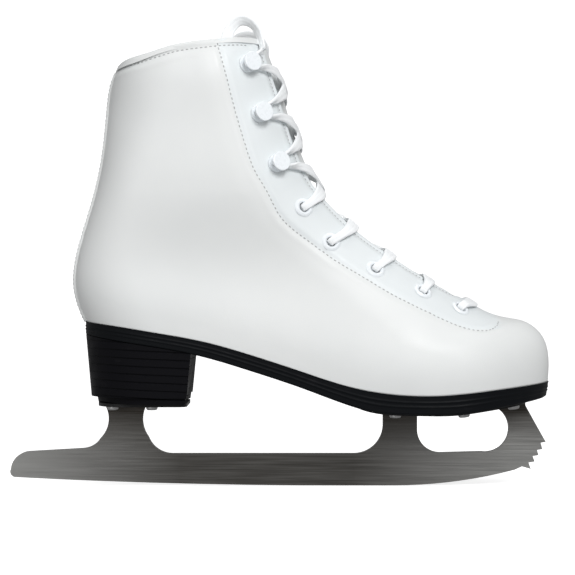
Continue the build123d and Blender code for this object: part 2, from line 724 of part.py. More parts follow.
# Where each tucked lace end runs: up from the top hook, in a loop over the collar, and down between
# the tongue and the lining. The y values are distances from the centre plane.
TUCKED_DOWN = [(-31.8, 26.6, 223.5), (-30.8, 26.9, 201.0), (-32.4, 26.4, 179.0)]
TUCKED = {
    "outer": [
        (-9.2, 24.9, 235.4), (-10.6, 21.5, 243.5), (-15.0, 20.4, 250.8), (-22.2, 21.2, 252.6),
        (-27.6, 24.0, 246.4), (-29.4, 25.4, 238.0), *TUCKED_DOWN,
    ],
    "inner": [
        (-9.2, 24.9, 235.4), (-7.6, 20.6, 242.0), (-11.0, 18.6, 248.4), (-18.6, 19.4, 250.8),
        (-26.4, 23.2, 248.0), (-29.2, 25.2, 239.4), *TUCKED_DOWN,
    ],
}
AGLET_R, AGLET_LENGTH = 1.9, 18.0


def tucked_route(name):
    side = 1 if name == "inner" else -1
    return [Vector(x, side * y, z) for x, y, z in TUCKED[name]]


def tucked_end(name):
    """The free end as a round cord: straight runs joined by tangent arcs."""
    points = tucked_route(name)
    radii = []
    for a, b, c in zip(points, points[1:], points[2:]):
        turn = math.radians((b - a).get_angle(c - b))
        radii.append(0.45 * min((b - a).length, (c - b).length) / math.tan(turn / 2))
    print(name, "lace end: arc radii", [round(r, 1) for r in radii])
    path = FilletPolyline(*points, radius=radii)
    print(name, "lace end: length", round(path.length, 1))
    start = Plane(origin=points[0], z_dir=points[1] - points[0])
    return sweep(start * Circle(CORD_R), path=path)


def aglet(name):
    points = tucked_route(name)
    place = Plane(origin=points[-1], z_dir=points[-1] - points[-2])
    body = Cylinder(AGLET_R, AGLET_LENGTH, align=(Align.CENTER, Align.CENTER, Align.MIN))
    tip = body.faces().sort_by(Axis.Z)[-1].edges()
    return place * fillet(tip, 0.9)


def build():
    throat, holes = throat_prism(), fixing_holes()
    sole_screws = [screw(p) for p in sole_screw_places()]
    heel_screws = [screw(p) for p in heel_screw_places()]
    parts = {"upper": upper(throat, holes), "lining": lining(throat, holes)}
    parts.update(stiffeners(throat, holes))
    parts["ankle_padding"] = ankle_padding()
    parts["insole_board"], parts["footbed"] = footbed_and_board()
    parts.update(tongue())
    parts["backstrap"] = backstrap()
    parts["collar_binding"] = collar_binding(throat)
    parts["shank"] = shank()
    parts["outsole"] = outsole([parts["shank"], *sole_screws])
    parts["heel_block"] = heel_block(heel_screws)
    parts["heel_lift"] = heel_lift(heel_screws)
    parts["heel_plate"] = heel_plate(heel_screws)
    parts["sole_plate"] = sole_plate(sole_screws)
    parts["runner"] = runner()
    parts["sole_plate_screws"] = Compound(sole_screws)
    parts["heel_plate_screws"] = Compound(heel_screws)
    parts["lace"] = lace()
    for side, name in ((-1, "outer"), (1, "inner")):
        eyelets, hooks = placed(eyelet, EYELETS, side), placed(hook, HOOKS, side)
        parts[f"eyelets_{name}"], parts[f"hooks_{name}"] = Compound(eyelets), Compound(hooks)
        parts[f"lace_end_{name}"], parts[f"aglet_{name}"] = tucked_end(name), aglet(name)
    return parts


def main():
    os.makedirs("parts", exist_ok=True)
    for node, shape in build().items():
        export_step(shape, f"parts/{node}.step")
        print(node, len(shape.solids()), round(shape.volume, 1))


if __name__ == "__main__":
    main()
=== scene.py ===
"""The look of the lace-up figure skate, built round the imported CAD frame. Metres, in the frame's axes."""

import math

import bmesh
import bpy
import numpy as np
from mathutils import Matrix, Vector, kdtree


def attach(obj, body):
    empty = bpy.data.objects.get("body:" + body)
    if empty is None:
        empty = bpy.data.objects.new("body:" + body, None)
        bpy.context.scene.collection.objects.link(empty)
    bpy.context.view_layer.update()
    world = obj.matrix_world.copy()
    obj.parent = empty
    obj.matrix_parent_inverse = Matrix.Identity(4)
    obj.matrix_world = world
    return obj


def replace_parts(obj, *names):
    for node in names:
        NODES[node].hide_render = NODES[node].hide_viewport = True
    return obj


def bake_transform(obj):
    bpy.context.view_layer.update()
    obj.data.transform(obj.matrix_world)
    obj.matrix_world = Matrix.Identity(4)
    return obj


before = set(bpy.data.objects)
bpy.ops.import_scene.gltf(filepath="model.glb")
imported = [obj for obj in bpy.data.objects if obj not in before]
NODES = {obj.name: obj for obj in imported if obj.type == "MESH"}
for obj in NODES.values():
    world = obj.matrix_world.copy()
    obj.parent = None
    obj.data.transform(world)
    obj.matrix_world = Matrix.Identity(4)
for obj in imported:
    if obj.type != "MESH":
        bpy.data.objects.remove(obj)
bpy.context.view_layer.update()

MM = 0.001
scene = bpy.context.scene


def link(obj):
    scene.collection.objects.link(obj)
    return obj


# ---------------------------------------------------------------- camera, lights and stage
camera = link(bpy.data.objects.new("camera", bpy.data.cameras.new("camera")))
camera.data.sensor_width = 36
camera.data.lens = 850 / 316.25 * 36
camera.location = (3.85 * MM, -0.850, 108.6 * MM)
camera.rotation_euler = (math.pi / 2, 0, 0)
camera.data.clip_start = 0.01
scene.camera = camera
scene.view_settings.view_transform = "Standard"


def area_light(name, place, target, size, power):
    data = bpy.data.lights.new(name, "AREA")
    data.size, data.energy = size, power
    lamp = link(bpy.data.objects.new(name, data))
    lamp.location = place
    lamp.rotation_euler = (Vector(target) - Vector(place)).to_track_quat("-Z", "Y").to_euler()


area_light("key", (0.40, -1.30, 0.85), (0, 0, 0.13), 0.6, 14)
area_light("fill", (-0.7, -1.2, 0.45), (0, 0, 0.12), 1.0, 3.5)
area_light("top", (0.1, 0.1, 1.4), (0, 0, 0.12), 0.8, 3.0)
world = bpy.data.worlds.new("studio")
world.use_nodes = True
world.node_tree.nodes["Background"].inputs["Color"].default_value = (1, 1, 1, 1)
world.node_tree.nodes["Background"].inputs["Strength"].default_value = 0.36
scene.world = world


# ---------------------------------------------------------------- materials
class Surface:
    """A procedural material: short ways to add nodes and feed the principled shader."""

    def __init__(
        self, name, color, roughness, metallic=0.0, specular=0.5, coat=0.0, sheen=0.0, sheen_rough=0.5
    ):
        self.mat = bpy.data.materials.new(name)
        self.mat.use_nodes = True
        self.tree = self.mat.node_tree
        self.shader = self.tree.nodes["Principled BSDF"]
        values = {
            "Base Color": (*color, 1), "Roughness": roughness, "Metallic": metallic,
            "Specular IOR Level": specular, "Coat Weight": coat, "Sheen Weight": sheen,
            "Sheen Roughness": sheen_rough,
        }
        for key, value in values.items():
            self.shader.inputs[key].default_value = value
        self.height = None

    def node(self, kind, inputs=None, **settings):
        made = self.tree.nodes.new(kind)
        for key, value in settings.items():
            setattr(made, key, value)
        for key, value in (inputs or {}).items():
            if isinstance(value, bpy.types.NodeSocket):
                self.tree.links.new(value, made.inputs[key])
            else:
                made.inputs[key].default_value = value
        return made

    def place(self, scale=(1, 1, 1), uv=False):
        source = self.node("ShaderNodeTexCoord").outputs["UV" if uv else "Object"]
        return self.node("ShaderNodeMapping", {"Vector": source, "Scale": scale}).outputs[0]

    def noise(self, scale, detail=3.0, stretch=(1, 1, 1), roughness=0.5):
        inputs = {"Vector": self.place(stretch), "Scale": scale, "Detail": detail, "Roughness": roughness}
        return self.node("ShaderNodeTexNoise", inputs).outputs["Fac"]

    def cells(self, scale, feature="DISTANCE_TO_EDGE"):
        made = self.node("ShaderNodeTexVoronoi", {"Vector": self.place(), "Scale": scale}, feature=feature)
        return made.outputs["Distance"]

    def math(self, operation, a, b=0.0, c=0.0):
        return self.node("ShaderNodeMath", {0: a, 1: b, 2: c}, operation=operation).outputs[0]

    def range(self, value, low, high, to_low, to_high):
        inputs = {"Value": value, "From Min": low, "From Max": high, "To Min": to_low, "To Max": to_high}
        return self.node("ShaderNodeMapRange", inputs).outputs[0]

    def mix(self, factor, a, b):
        made = self.node("ShaderNodeMix", data_type="RGBA")
        for index, value in ((0, factor), (6, a), (7, b)):
            if isinstance(value, bpy.types.NodeSocket):
                self.tree.links.new(value, made.inputs[index])
            else:
                made.inputs[index].default_value = value if index == 0 else (*value, 1)
        return made.outputs[2]

    def attribute(self, name):
        return self.node("ShaderNodeAttribute", attribute_name=name).outputs["Fac"]

    def feed(self, key, value):
        self.tree.links.new(value, self.shader.inputs[key])

    def bump(self, height, distance, strength=1.0):
        inputs = {"Height": height, "Distance": distance, "Strength": strength}
        if self.height is not None:
            inputs["Normal"] = self.height
        self.height = self.node("ShaderNodeBump", inputs).outputs[0]
        self.feed("Normal", self.height)


def leather(name, color, shade, gloss=0.42, fine=1.0):
    made = Surface(name, color, gloss, specular=0.45)
    tone = made.noise(14, 4)
    facing = made.attribute("facing")
    base = made.mix(made.range(tone, 0.3, 0.7, 0, 1), color, shade)
    made.feed("Base Color", made.mix(made.math("MULTIPLY", facing, 0.4), base, (0.77, 0.84, 0.875)))
    made.feed("Roughness", made.range(made.noise(60, 3), 0.3, 0.7, gloss - 0.06, gloss + 0.08))
    made.bump(made.noise(28, 3), 0.0016, 0.10 * fine)
    made.bump(made.range(made.cells(1500), 0.0, 0.12, 0, 1), 0.00006, 0.30 * fine)
    made.bump(made.noise(2600, 4), 0.00006, 0.35 * fine)
    return made.mat


def woven(name, color, shade, pitch, depth=0.0002, sheen=0.25, rib=0.0):
    """A woven or knitted cloth, its threads along the mesh's UVs, which are in metres."""
    made = Surface(name, color, 0.85, specular=0.2, sheen=sheen)
    split = made.node("ShaderNodeSeparateXYZ", {"Vector": made.place(uv=True)})
    turn = math.pi / pitch
    u = made.math("MULTIPLY", split.outputs[0], turn)
    v = made.math("MULTIPLY", split.outputs[1], turn)
    slant = made.math("SINE", made.math("ADD", u, v))
    other = made.math("SINE", made.math("SUBTRACT", u, v))
    weave = made.range(made.math("MULTIPLY", slant, other), -1, 1, 0, 1)
    fuzz = made.noise(1800, 3)
    mixed = made.range(made.math("MULTIPLY_ADD", fuzz, 0.35, weave), 0.1, 0.9, 0, 1)
    tone = made.mix(mixed, shade, color)
    if rib:
        wander = made.math("MULTIPLY_ADD", made.noise(55, 2), 0.0022, split.outputs[1])
        fold = made.range(made.math("SINE", made.math("MULTIPLY", wander, math.tau / rib)), -1, 1, 0, 1)
        # painted shade: the troughs between the lengthwise folds are coloured darker
        tone = made.mix(made.range(fold, 0.0, 0.4, 0.12, 0), tone, tuple(c * 0.8 for c in shade))
        made.bump(fold, 0.00025, 0.35)
    made.feed("Base Color", tone)
    made.bump(weave, depth, 0.9)
    made.bump(fuzz, 0.0001, 0.4)
    return made.mat


def textile(name, color, shade, scale=1100):
    """A brushed lining or foam cloth with no direction."""
    made = Surface(name, color, 0.9, specular=0.15, sheen=0.3)
    fuzz = made.noise(scale, 5, roughness=0.65)
    made.feed("Base Color", made.mix(made.range(fuzz, 0.35, 0.7, 0, 1), shade, color))
    made.bump(fuzz, 0.0002, 0.6)
    made.bump(made.noise(90, 3), 0.0008, 0.25)
    return made.mat


def moulded(name, color, roughness, worn=(0.014, 0.014, 0.016), rib=None):
    """Black moulded plastic or rubber with a fine pebble and faint scuffs."""
    made = Surface(name, color, roughness, specular=0.09)
    scuff = made.range(made.noise(45, 6, (1, 1, 2.5)), 0.62, 0.8, 0, 1)
    made.feed("Base Color", made.mix(scuff, color, worn))
    made.feed("Roughness", made.range(made.noise(120, 4), 0.3, 0.7, roughness - 0.07, roughness + 0.1))
    if rib:
        split = made.node("ShaderNodeSeparateXYZ", {"Vector": made.place()})
        slanted = made.math("MULTIPLY_ADD", split.outputs[0], rib[1], split.outputs[2])
        line = made.math("PINGPONG", made.math("ADD", slanted, rib[2]), rib[0] / 2)
        made.bump(made.range(line, 0, 0.00045, 0, 1), 0.0007, 0.9)
    made.bump(made.noise(900, 3), 0.00008, 0.5)
    return made.mat


def enamel(name, color, roughness=0.26):
    made = Surface(name, color, roughness, specular=0.5, coat=0.35)
    cloud = made.range(made.noise(160, 3), 0.35, 0.7, 0, 1)
    made.feed("Base Color", made.mix(cloud, color, tuple(c * 0.98 for c in color)))
    made.feed("Roughness", made.range(made.noise(500, 3), 0.3, 0.7, roughness - 0.05, roughness + 0.1))
    made.bump(made.noise(700, 2), 0.00005, 0.3)
    return made.mat


def brushed_runner():
    """Steel ground lengthways, with painted shade: duller and darker along the middle than at the two ends,
    and darker still on the stanchions up by the plates than along the edge.
    """
    made = Surface("runner_steel", (0.34, 0.34, 0.34), 0.36, metallic=1.0)
    split = made.node("ShaderNodeSeparateXYZ", {"Vector": made.place()})
    # painted shade: the middle of the blade, between these two masks, is coloured darker than its two ends
    tail = made.range(split.outputs[0], -0.145, -0.055, 1, 0)
    toe = made.range(split.outputs[0], 0.04, 0.125, 0, 1)
    ends = made.math("MAXIMUM", tail, toe)
    # painted shade: the stanchions up near the plates are coloured darker still
    plate_shade = made.range(split.outputs[2], 0.020, 0.042, 0, 1)
    base = made.mix(ends, (0.085, 0.081, 0.075), (0.36, 0.36, 0.35))
    base = made.mix(plate_shade, base, (0.036, 0.030, 0.024))
    grain = made.noise(900, 4, (0.035, 1, 1.6))
    broad = made.noise(60, 3, (0.12, 1, 1))
    base = made.mix(made.range(grain, 0.35, 0.65, 0, 0.10), base, (0.42, 0.42, 0.41))
    made.feed("Base Color", made.mix(made.range(broad, 0.4, 0.65, 0, 0.10), base, (0.07, 0.066, 0.06)))
    made.feed("Roughness", made.range(grain, 0.3, 0.7, 0.30, 0.46))
    made.bump(grain, 0.00005, 0.55)
    return made.mat


def plated(name, color, roughness):
    made = Surface(name, color, roughness, metallic=1.0)
    made.feed("Roughness", made.range(made.noise(300, 3), 0.3, 0.7, roughness - 0.06, roughness + 0.14))
    made.bump(made.noise(800, 3), 0.00004, 0.4)
    return made.mat


def flecked_dark(name, color, roughness=0.4):
    made = Surface(name, color, roughness, specular=0.2)
    flecks = made.range(made.noise(160, 6), 0.66, 0.72, 0, 1)
    made.feed("Base Color", made.mix(flecks, color, (0.06, 0.06, 0.06)))
    made.bump(made.noise(1300, 3), 0.00005, 0.5)
    return made.mat


def fibreboard(name, color, shade):
    made = Surface(name, color, 0.8, specular=0.2)
    made.feed("Base Color", made.mix(made.noise(400, 5), color, shade))
    made.bump(made.noise(900, 5), 0.0001, 0.6)
    return made.mat


WHITE_LEATHER = leather("white_leather", (0.80, 0.815, 0.812), (0.755, 0.772, 0.77))
TRIM_LEATHER = leather("trim_leather", (0.74, 0.76, 0.76), (0.68, 0.70, 0.70), 0.46, 1.2)
LACE = woven("lace_weave", (0.97, 0.985, 0.99), (0.88, 0.91, 0.94), 0.0009, 0.0001, rib=0.0024)
# painted shade: the white stitch thread is coloured mid grey, as though shaded in its groove
THREAD = woven("stitch_thread", (0.50, 0.51, 0.51), (0.32, 0.33, 0.33), 0.0004, 0.00006)
LINING = textile("lining_cloth", (0.70, 0.70, 0.685), (0.52, 0.52, 0.51))
FOAM = textile("interlining_foam", (0.76, 0.755, 0.73), (0.62, 0.615, 0.59), 700)
FOOTBED = textile("footbed_cloth", (0.12, 0.125, 0.135), (0.05, 0.052, 0.058))
BOARD = fibreboard("fibre_board", (0.42, 0.32, 0.20), (0.30, 0.22, 0.13))
EYESTAY = fibreboard("eyestay_board", (0.70, 0.705, 0.69), (0.60, 0.605, 0.59))
STIFFENER = fibreboard("pressed_stiffener", (0.52, 0.46, 0.36), (0.42, 0.36, 0.27))
SOLE = moulded("sole_rubber", (0.0034, 0.0042, 0.0054), 0.5)
HEEL = moulded("heel_stack", (0.0026, 0.0026, 0.0040), 0.5, rib=(0.0042, 0.045, 0.0))
# the plates are coloured near black, with faint lighter flecks
PLATES = flecked_dark("plate_near_black", (0.010, 0.010, 0.011))
ENAMEL = enamel("white_enamel", (0.90, 0.94, 0.97))
AGLET = enamel("clear_tip", (0.74, 0.77, 0.79), 0.18)
RUNNER = brushed_runner()
SCREWS = plated("zinc_screws", (0.42, 0.42, 0.42), 0.3)
SHANK = plated("spring_steel", (0.35, 0.35, 0.36), 0.4)


def paint(name, material):
    """A better material on a CAD node that already has its real shape."""
    obj = NODES[name]
    obj.data.materials.clear()
    obj.data.materials.append(material)


for cad_node, cad_material in {
    "interlining_foam": FOAM, "eyestay": EYESTAY, "heel_counter": STIFFENER,
    "toe_box": STIFFENER, "insole_board": BOARD, "footbed": FOOTBED, "shank": SHANK, "heel_block": HEEL,
    "heel_lift": HEEL, "heel_plate": PLATES, "sole_plate": PLATES, "runner": RUNNER,
    "sole_plate_screws": SCREWS, "heel_plate_screws": SCREWS, "eyelets_outer": ENAMEL,
    "eyelets_inner": ENAMEL, "hooks_outer": ENAMEL, "hooks_inner": ENAMEL, "aglet_outer": AGLET,
    "aglet_inner": AGLET, "collar_binding": WHITE_LEATHER,
}.items():
    paint(cad_node, cad_material)


# ---------------------------------------------------------------- mesh helpers
def piece(name, points, faces, material, body="boot", uvs=None):
    """A mesh from points in millimetres, riding on a body."""
    mesh = bpy.data.meshes.new(name)
    mesh.from_pydata([tuple(float(c) * MM for c in p) for p in points], [], faces)
    mesh.materials.append(material)
    if uvs is not None:
        layer = mesh.uv_layers.new(name="UVMap")
        corners = np.array([uvs[loop.vertex_index] for loop in mesh.loops], np.float32)
        layer.data.foreach_set("uv", corners.ravel())
    mesh.shade_smooth()
    mesh.validate()
    obj = link(bpy.data.objects.new(name, mesh))
    if body:
        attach(obj, body)
    return obj


def grid_faces(rows, columns, closed=False, start=0):
    faces = []
    for i in range(rows - 1):
        for j in range(columns if closed else columns - 1):
            k = (j + 1) % columns
            low, high = start + i * columns, start + (i + 1) * columns
            faces.append((low + j, low + k, high + k, high + j))
    return faces


def resample(points, step):
    """Points evenly spaced along a smooth line through the given ones."""
    pts = np.array([tuple(p) for p in points], float)
    run = np.concatenate([[0], np.cumsum(np.linalg.norm(np.diff(pts, axis=0), axis=1))])
    kept = np.concatenate([[True], np.diff(run) > 0.01])
    curves = [Curve(*zip(run[kept], pts[kept, k])) for k in range(3)]
    count = max(3, round(run[-1] / step) + 1)
    at = np.linspace(0, run[-1], count)
    return np.stack([c(at) for c in curves], -1)


def outwards(obj):
    shape = bmesh.new()
    shape.from_mesh(obj.data)
    bmesh.ops.recalc_face_normals(shape, faces=shape.faces)
    shape.to_mesh(obj.data)
    shape.free()


def ribbon(name, keys, steps=5):
    """A flat woven lace with round edges, through rows of (point, across, width, thickness)."""
    rows = []
    for i in range(len(keys) - 1):
        a, b, c, d = keys[max(i - 1, 0)], keys[i], keys[i + 1], keys[min(i + 2, len(keys) - 1)]
        for t in np.arange(steps) / steps:
            square, cube = 2 * a - 5 * b + 4 * c - d, 3 * b - a - 3 * c + d
            rows.append(0.5 * (2 * b + (c - a) * t + square * t * t + cube * t**3))
    rows = np.array(rows + [keys[-1]])
    centre = rows[:, :3]
    ring = []
    for q in (math.tau * m / 20 for m in range(20)):
        corner = ((math.cos(q), 0.55), (math.sin(q), 0.8))
        ring.append([math.copysign(abs(v) ** power, v) for v, power in corner])
    points, uvs, run = [], [], 0.0
    for i, row in enumerate(rows):
        before, after = centre[max(i - 1, 0)], centre[min(i + 1, len(rows) - 1)]
        along, across = Vector(after - before).normalized(), Vector(row[3:6])
        wide = (across - along * across.dot(along)).normalized()
        up = along.cross(wide)
        run += float(np.linalg.norm(centre[i] - before)) if i else 0
        for cx, cy in ring:
            points.append(Vector(centre[i]) + wide * (cx * row[6] / 2) + up * (cy * row[7] / 2))
            uvs.append((run * MM, (cx * row[6] + cy * row[7]) / 2 * MM))
    count = len(ring)
    faces = grid_faces(len(rows), count, closed=True)
    faces += [tuple(range(count - 1, -1, -1)), tuple(range(len(points) - count, len(points)))]
    obj = piece(name, points, faces, LACE, uvs=uvs)
    outwards(obj)
    return obj


# ---------------------------------------------------------------- the two tucked lace ends
TUCKED_DOWN = [(-31.8, 26.6, 223.5), (-30.8, 26.9, 201.0), (-32.4, 26.4, 179.0)]
TUCKED = {
    "outer": [
        (-9.2, 24.9, 235.4), (-10.6, 21.5, 243.5), (-15.0, 20.4, 250.8), (-22.2, 21.2, 252.6),
        (-27.6, 24.0, 246.4), (-29.4, 25.4, 238.0), *TUCKED_DOWN,
    ],
    "inner": [
        (-9.2, 24.9, 235.4), (-7.6, 20.6, 242.0), (-11.0, 18.6, 248.4), (-18.6, 19.4, 250.8),
        (-26.4, 23.2, 248.0), (-29.2, 25.2, 239.4), *TUCKED_DOWN,
    ],
}
END_WIDTH = 6.4


def spline_points(route):
    """Points of the smooth line that the route's points control."""
    data = bpy.data.curves.new("route", "CURVE")
    data.dimensions, data.resolution_u = "3D", 10
    line = data.splines.new("NURBS")
    line.points.add(len(route) - 1)
    for p, co in zip(line.points, route):
        p.co = (*[c * MM for c in co], 1)
    line.order_u, line.use_endpoint_u = 3, True
    holder = link(bpy.data.objects.new("route", data))
    bpy.context.view_layer.update()
    found = [v.co.copy() for v in bpy.data.meshes.new_from_object(holder).vertices]
    bpy.data.objects.remove(holder)
    return found


def tucked_end(sign, label):
    line = spline_points([(x, sign * y, z) for x, y, z in TUCKED[label]])
    keys = []
    for i, p in enumerate(line):
        share = i / (len(line) - 1)
        along = (line[min(i + 1, len(line) - 1)] - line[max(i - 1, 0)]).normalized()
        flat = along.cross(Vector((0, sign, 0))).normalized()
        turned = 1.0 * min(1, max(0, 1.35 - share * 1.9))
        across = flat * math.cos(turned) + Vector((0, sign, 0)) * math.sin(turned)
        pinch = max(0, (share - 0.93) / 0.07)
        width = (4.4 + (END_WIDTH - 4.4) * min(1, share * 9)) * (1 - 0.45 * pinch)
        keys.append([*(p / MM), *across, width, 1.8 + 0.9 * pinch])
    tail = ribbon(f"lace_tail_{label}", np.array(keys), steps=1)
    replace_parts(tail, f"lace_end_{label}")


tucked_end(-1, "outer")
tucked_end(1, "inner")


# ---------------------------------------------------------------- the boot's shape, in millimetres
TILT = math.radians(18)
COS, SIN = math.cos(TILT), math.sin(TILT)


class Curve:
    """A natural cubic spline through (place, value) pairs, level beyond both ends."""

    def __init__(self, *pairs):
        self.x, self.y = (np.array(v, float) for v in zip(*sorted(pairs)))
        n, h = len(self.x), np.diff(self.x)
        rows, right = np.eye(n), np.zeros(n)
        for i in range(1, n - 1):
            rows[i, i - 1 : i + 2] = h[i - 1], 2 * (h[i - 1] + h[i]), h[i]
            right[i] = 6 * ((self.y[i + 1] - self.y[i]) / h[i] - (self.y[i] - self.y[i - 1]) / h[i - 1])
        self.bend = np.linalg.solve(rows, right)

    def __call__(self, at):
        at = np.clip(at, self.x[0], self.x[-1])
        i = np.clip(np.searchsorted(self.x, at) - 1, 0, len(self.x) - 2)
        h = self.x[i + 1] - self.x[i]
        a, b = (self.x[i + 1] - at) / h, (at - self.x[i]) / h
        curve = (a**3 - a) * self.bend[i] + (b**3 - b) * self.bend[i + 1]
        return a * self.y[i] + b * self.y[i + 1] + curve * h * h / 6

    def slope(self, at):
        return self(at + 0.5) - self(at - 0.5)


FRONT = Curve(
    (-20, 145), (-5, 151), (10, 157.6), (24, 162.2), (34, 162), (41, 158.5), (46, 153), (50, 145.5),
    (56, 137), (65, 128.8), (80, 116), (100, 101), (120, 87.2), (137, 77.8), (150, 72.3), (164, 70.2),
    (180, 69.4), (200, 69.8), (225, 69.6), (250, 67.5),
)
BACK = Curve(
    (-20, -68.8), (80, -68.8), (110, -72.3), (125, -74), (137, -73.5), (149, -69.5), (160, -62.8),
    (176, -51.7), (190, -42.3), (205, -34.7), (221, -27.8), (235, -20.4), (245, -12.2), (252, -5.8),
)
NOSE_LENGTH = Curve((-20, 56), (30, 56), (60, 50), (100, 46), (150, 44), (200, 42), (250, 40))
HEEL_LENGTH = Curve((-20, 36), (150, 36), (250, 40))
OUTER_SIDE = Curve(
    (-120, 30), (-85, 31.5), (-50, 30.5), (-15, 31), (20, 36.5), (55, 43), (80, 44.8), (105, 42.5),
    (130, 37), (150, 33),
)
INNER_SIDE = Curve(
    (-120, 30), (-85, 31.5), (-50, 29.5), (-15, 27), (20, 30.5), (55, 39.5), (80, 44), (97, 44.8),
    (125, 42), (150, 37),
)
BELLY = Curve((0, 0.985), (8, 1.01), (20, 1.0), (35, 0.93), (55, 0.84), (80, 0.76))
SHAFT = Curve((100, 33), (130, 33.5), (165, 36), (200, 36.6), (250, 39))
SOLE_TOP = Curve(
    (-112, 90.6), (-87, 87.7), (-61, 83.6), (-41, 79.8), (-15, 72.5), (12, 63.9), (38, 56), (62, 52.3),
    (84, 51.9), (104, 53.5), (130, 55.9), (150, 57.6),
)
SOLE_BOTTOM = Curve(
    (-112, 84), (-85, 79.5), (-60, 75.6), (-43, 72.1), (-15, 63.9), (12, 55.1), (38, 45.9), (50, 42.9),
    (60, 42), (75, 41.8), (92, 41.9), (110, 44), (130, 46.9), (150, 49.8),
)
COLLAR = Curve(
    (-100, 227.4), (-90, 227.6), (-84, 228.2), (-77, 229.6), (-64, 233.8), (-52, 237.1), (-39, 239.2),
    (-27, 240.5), (-10, 241.2), (10, 241.4),
)
THROAT = Curve((-40, 19.5), (-12, 19), (5, 18), (18, 17), (45, 15.8), (70, 14.6), (90, 12.4))
TONGUE_HALF = Curve((-45, 22), (-14, 22), (10, 24), (60, 24), (90, 20), (112, 15))
EYELETS = [(63, 21.5), (78, 25), (97, 27), (118, 27.2), (140, 27.6)]
HOOKS = [(166.5, 29.6), (194.5, 30.2), (221.5, 30)]


def world_of(s, y, h):
    return COS * s - SIN * h, y, SIN * s + COS * h


def tilted(x, z):
    return COS * x + SIN * z, COS * z - SIN * x


def ends(h, inset):
    front = FRONT(h) - inset * np.hypot(1, FRONT.slope(h))
    back = BACK(h) + inset * np.hypot(1, BACK.slope(h))
    return front, back


def half_width(s, h, side, inset=0.0):
    x, _, z = world_of(s, 0, h)
    foot = np.where(np.asarray(side) > 0, INNER_SIDE(x), OUTER_SIDE(x)) * BELLY(z - SOLE_TOP(x))
    rise = np.clip((z - 100) / 60, 0, 1)
    shaft = rise * rise * (3 - 2 * rise)
    wide = foot * (1 - shaft) + SHAFT(z) * shaft - inset
    nose, heel = ends(h, inset)
    for distance, length in ((nose - s, NOSE_LENGTH(h)), (s - heel, HEEL_LENGTH(h))):
        share = np.clip(distance / length, 0, 1)
        wide = wide * np.sqrt(np.clip(1 - (1 - share) ** 2, 0, None))
    return wide


def skin(turn, h, side, inset=0.0):
    """Points of the boot at an angle round the outline (0 at the toe, pi at the heel)."""
    nose, heel = ends(h, inset)
    s = (nose + heel) / 2 + (nose - heel) / 2 * np.cos(turn)
    x, y, z = world_of(s, side * half_width(s, h, side, inset), h)
    return np.stack(np.broadcast_arrays(x, y, z), -1)


def search(test, low, high):
    """Where each test turns from false to true, element by element."""
    for _ in range(26):
        middle = (low + high) / 2
        found = test(middle)
        low, high = np.where(found, low, middle), np.where(found, middle, high)
    return high


def throat_half(x):
    """Half width of the slit between the facings at x, closing in an arc at the toe."""
    arc = 12.4 * np.sqrt(np.clip(1 - ((x - 90) / 11.0) ** 2, 0, 1))
    return np.where(x > 90, np.where(x < 101, arc, 0), THROAT(x))


def throat_turn(h, side, inset=0.0):
    """The angle round the outline at which the facing's edge lies."""
    def beyond(turn):
        point = skin(turn, h, side, inset)
        return np.abs(point[..., 1]) >= throat_half(point[..., 0])

    open_here = skin(h * 0, h, side, inset)[..., 0] < 101
    return np.where(open_here, search(beyond, h * 0, h * 0 + 1.6), 0)


def unit(vectors):
    return vectors / np.linalg.norm(vectors, axis=-1, keepdims=True)


def side_points(x, z, side):
    """Points on the side of the boot at arrays of x and z."""
    s, h = tilted(x, z)
    return np.stack(np.broadcast_arrays(x, side * half_width(s, h, side), z), -1)


def front(h, y, lift=0.0):
    """Points on the front of the boot at heights and signed distances from the centre plane, lifted
    off the surface, with the outward normals there."""
    h, y = np.broadcast_arrays(np.asarray(h, float), np.asarray(y, float))

    def at(h, y):
        nose = FRONT(h)
        near = search(lambda d: half_width(nose - d, h, y) >= np.abs(y), h * 0, NOSE_LENGTH(h))
        return np.stack(world_of(nose - near, y, h), -1)

    normal = unit(np.cross(at(h, y + 0.5) - at(h, y - 0.5), at(h + 0.5, y) - at(h - 0.5, y)))
    normal = normal * np.where(normal[..., :1] > 0, 1, -1)
    return at(h, y) + normal * np.asarray(lift, float)[..., None], normal


# ---------------------------------------------------------------- seams
FACING_SEAM = [
    (-33.0, 238.6), (-30.8, 229.0), (-27.4, 215.9), (-23.2, 200.0), (-18.5, 184.2), (-13.2, 170.0),
    (-7.4, 160.2), (0.0, 146.4), (14.7, 133.5), (29.5, 122.9), (44.4, 114.0), (59.4, 105.0),
    (74.5, 97.4), (89.6, 90.3), (101.2, 86.5), (109.0, 86.0), (115.2, 87.9), (117.6, 90.6),
]


def facing_seam(side):
    x, z = np.array(FACING_SEAM).T
    return side_points(x, z, side)


def collar_seam(side, drop):
    x = np.linspace(-86, -16, 30)
    return side_points(x, COLLAR(x) - drop, side)


def throat_seam(side, gap):
    """A line on the facing, a gap back from its edge."""
    h = np.linspace(70, 236, 60)
    edge = throat_half(front(h, 1)[0][:, 0])
    return front(h, side * (edge + gap))[0]


# ---------------------------------------------------------------- upper
def blurred(field, known, reach=7):
    """A field on a grid, averaged over the known values round each place."""
    total, weight = np.where(known, field, 0.0), known.astype(float)
    kernel = np.ones(2 * reach + 1)
    for axis in (0, 1):
        total, weight = (np.apply_along_axis(np.convolve, axis, v, kernel, "same") for v in (total, weight))
    return total / np.maximum(weight, 1e-6)


